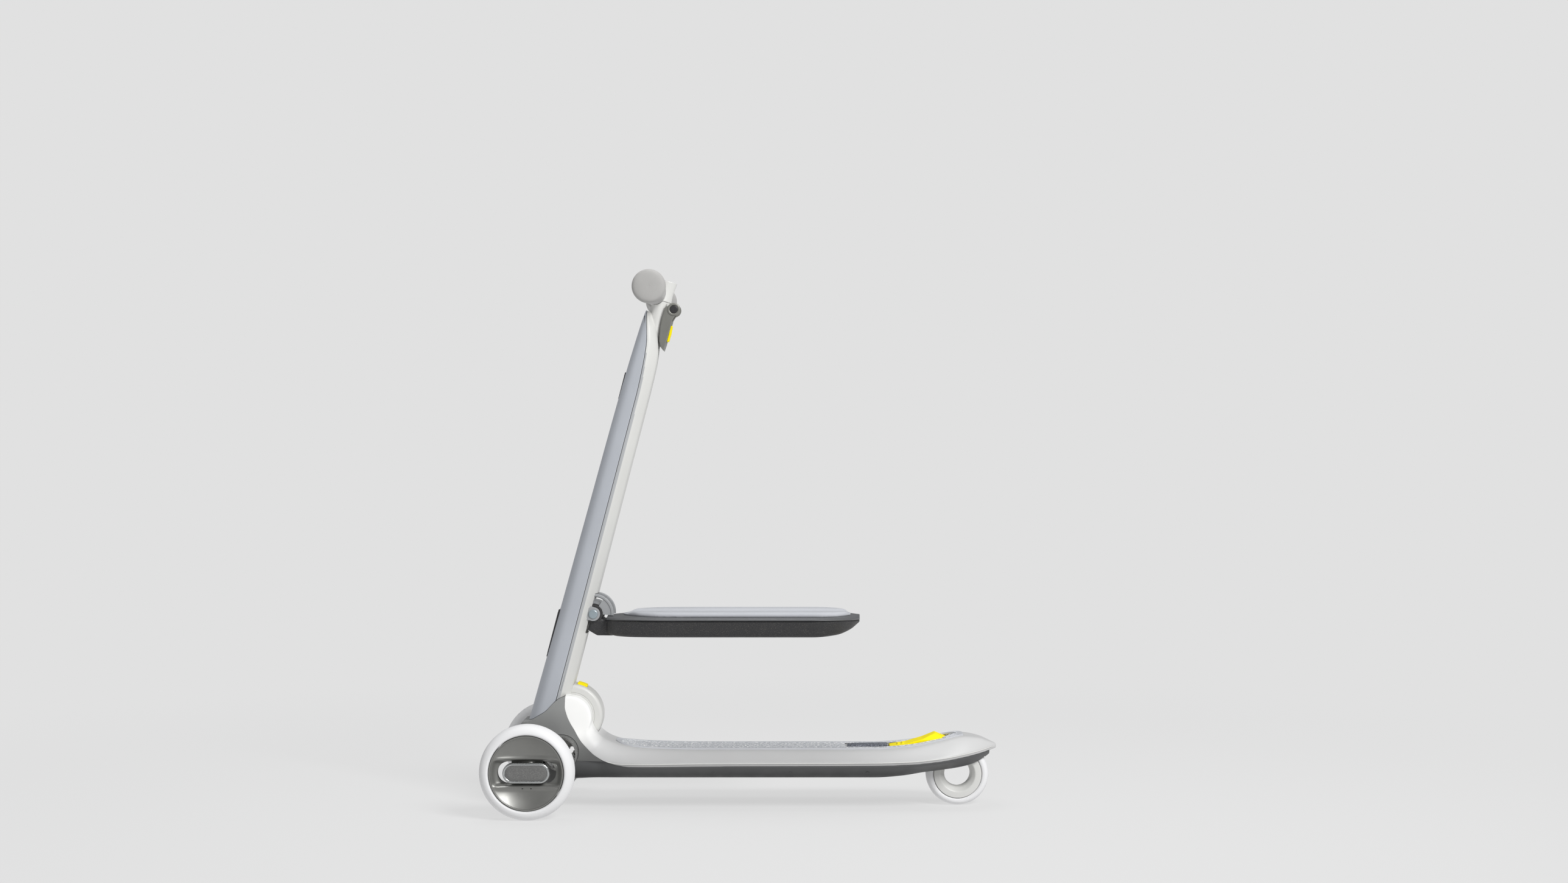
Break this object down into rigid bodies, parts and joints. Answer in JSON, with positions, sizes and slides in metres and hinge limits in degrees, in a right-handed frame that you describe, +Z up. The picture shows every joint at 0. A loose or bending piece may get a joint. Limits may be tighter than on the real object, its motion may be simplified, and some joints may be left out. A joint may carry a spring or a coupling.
{
  "type": "three wheel kick scooter",
  "caption": "Child's electric kick scooter with two front wheels, a hubless rear wheel, folding raked stem, telescopic handlebar and fold-down seat.",
  "frame": {"origin": "on the ground under the middle of the whole object", "axes": "+Z up, -X the way it travels, +Y to the rider's right"},
  "size_m": [0.6622, 0.302, 0.6915],
  "materials": {
    "tyre_white": "matte",
    "hub_grey": "satin",
    "badge_metal": "satin",
    "badge_panel": "fine grained",
    "bright_steel": "polished",
    "cast_alloy": "bead blasted",
    "housing_grey": "satin moulded",
    "shell_light": "satin moulded",
    "shell_blue_grey": "satin moulded",
    "belly_dark": "moulded",
    "mat_grey": "star relief",
    "tongue_slate": "knurled",
    "signal_yellow": "gloss",
    "tube_paint": "satin",
    "slider_metal": "anodised",
    "lever_grey": "satin",
    "grip_rubber": "fine dotted",
    "seat_hull": "moulded",
    "seat_band": "satin",
    "seat_foam": "soft foam skin",
    "lamp_lens": "smoked",
    "lamp_black": "gloss",
    "circuit_green": "solder mask",
    "cell_wrap": "shrink wrap",
    "case_black": "moulded",
    "lamination": "laminated",
    "winding_copper": "enamelled"
  },
  "bodies": {
    "deck": {"deck_upper_shell": "shell_light", "deck_lower_shell": "belly_dark", "deck_mat": "mat_grey", "pedal_tongue": "tongue_slate", "pedal_pin": "bright_steel", "screws": "bright_steel", "charge_socket": "case_black", "battery_cells": "cell_wrap", "battery_case": "case_black", "controller_board": "circuit_green", "front_housing": "housing_grey", "side_collars": "bright_steel", "kingpin": "bright_steel", "steering_bushings": "tongue_slate", "fold_pin": "bright_steel", "wheel_carrier": "hub_grey", "retaining_ring": "hub_grey", "rear_bearings": "bright_steel", "stator_core": "lamination", "stator_coils": "winding_copper"},
    "truck": {"steering_truck": "cast_alloy", "axle_nuts": "bright_steel", "front_wheel_bearings": "bright_steel"},
    "front_wheel_left": {"front_tyre_left": "tyre_white", "front_hub_left": "hub_grey", "wheel_badge_left": "badge_metal", "wheel_badge_panel_left": "badge_panel"},
    "front_wheel_right": {"front_tyre_right": "tyre_white", "front_hub_right": "hub_grey", "wheel_badge_right": "badge_metal", "wheel_badge_panel_right": "badge_panel"},
    "rear_wheel": {"rear_tyre": "tyre_white", "rear_rim": "hub_grey", "rotor_magnets": "lamination"},
    "pedal": {"brake_pedal": "signal_yellow", "brake_shoe": "tongue_slate"},
    "stem": {"stem_front_shell": "shell_blue_grey", "stem_rear_shell": "shell_light", "stem_tube": "tube_paint", "fold_barrel": "shell_light", "seat_bracket": "cast_alloy", "seat_pin": "bright_steel", "headlight_lens": "lamp_lens", "headlight_bezel": "lamp_black", "headlight_board": "circuit_green", "front_reflector": "lamp_black", "lever_pin": "bright_steel"},
    "release_button": {"fold_release_button": "signal_yellow"},
    "seat": {"seat_pan": "seat_hull", "seat_rim": "seat_band", "seat_pad": "seat_foam"},
    "handlebar": {"handlebar_collar": "tube_paint", "slider_tube": "slider_metal", "handlebar_tube": "tube_paint", "grip_left": "grip_rubber", "grip_right": "grip_rubber", "grip_caps": "grip_rubber"},
    "power_switch": {"power_button": "case_black"},
    "lever": {"quick_release_lever": "lever_grey"},
    "lever_catch": {"lever_button": "signal_yellow"}
  },
  "joints": [
    {"name": "stem_fold", "type": "hinge", "parent": "deck", "child": "stem", "pos_m": [-0.226, 0, 0.118], "axis": [0, 1, 0], "range_deg": [0, 75.4]},
    {"name": "seat_fold", "type": "hinge", "parent": "stem", "child": "seat", "pos_m": [-0.197, 0, 0.251], "axis": [0, -1, 0], "range_deg": [0, 75.4]},
    {"name": "lean_steer", "type": "hinge", "parent": "deck", "child": "truck", "pos_m": [-0.2725, 0, 0.058], "axis": [-0.7071, 0, 0.7071], "range_deg": [-8, 8], "stiffness_Nm_per_rad": 30},
    {"name": "front_wheel_left_spin", "type": "hinge", "parent": "truck", "child": "front_wheel_left", "pos_m": [-0.2711, -0.127, 0.06], "axis": [0, 1, 0], "continuous": true},
    {"name": "front_wheel_right_spin", "type": "hinge", "parent": "truck", "child": "front_wheel_right", "pos_m": [-0.2711, 0.127, 0.06], "axis": [0, 1, 0], "continuous": true},
    {"name": "rear_wheel_spin", "type": "hinge", "parent": "deck", "child": "rear_wheel", "pos_m": [0.2796, 0, 0.041], "axis": [0, 1, 0], "continuous": true},
    {"name": "brake_pedal_press", "type": "hinge", "parent": "deck", "child": "pedal", "pos_m": [0.194, 0, 0.0745], "axis": [0, 1, 0], "range_deg": [0, 3.2], "stiffness_Nm_per_rad": 2, "springref_deg": -2.86},
    {"name": "handlebar_height", "type": "slide", "parent": "stem", "child": "handlebar", "axis": [0.2521, 0, 0.9677], "range_m": [0, 0.08]},
    {"name": "quick_release_open", "type": "hinge", "parent": "stem", "child": "lever", "pos_m": [-0.09242, 0, 0.6495], "axis": [0, -1, 0], "range_deg": [0, 130]},
    {"name": "lever_catch_press", "type": "slide", "parent": "lever", "child": "lever_catch", "axis": [-0.9677, 0, 0.2521], "range_m": [0, 0.0015], "stiffness_N_per_m": 200, "springref_m": -0.001},
    {"name": "fold_release_press", "type": "slide", "parent": "stem", "child": "release_button", "axis": [-0.3256, 0, -0.9455], "range_m": [0, 0.003], "stiffness_N_per_m": 400, "springref_m": -0.001},
    {"name": "power_press", "type": "slide", "parent": "handlebar", "child": "power_switch", "axis": [-0.2521, 0, -0.9677], "range_m": [0, 0.001], "stiffness_N_per_m": 300, "springref_m": -0.0005}
  ],
  "couplings": [
    {"joint": "seat_fold", "follows": "stem_fold", "ratio": 1}
  ]
}
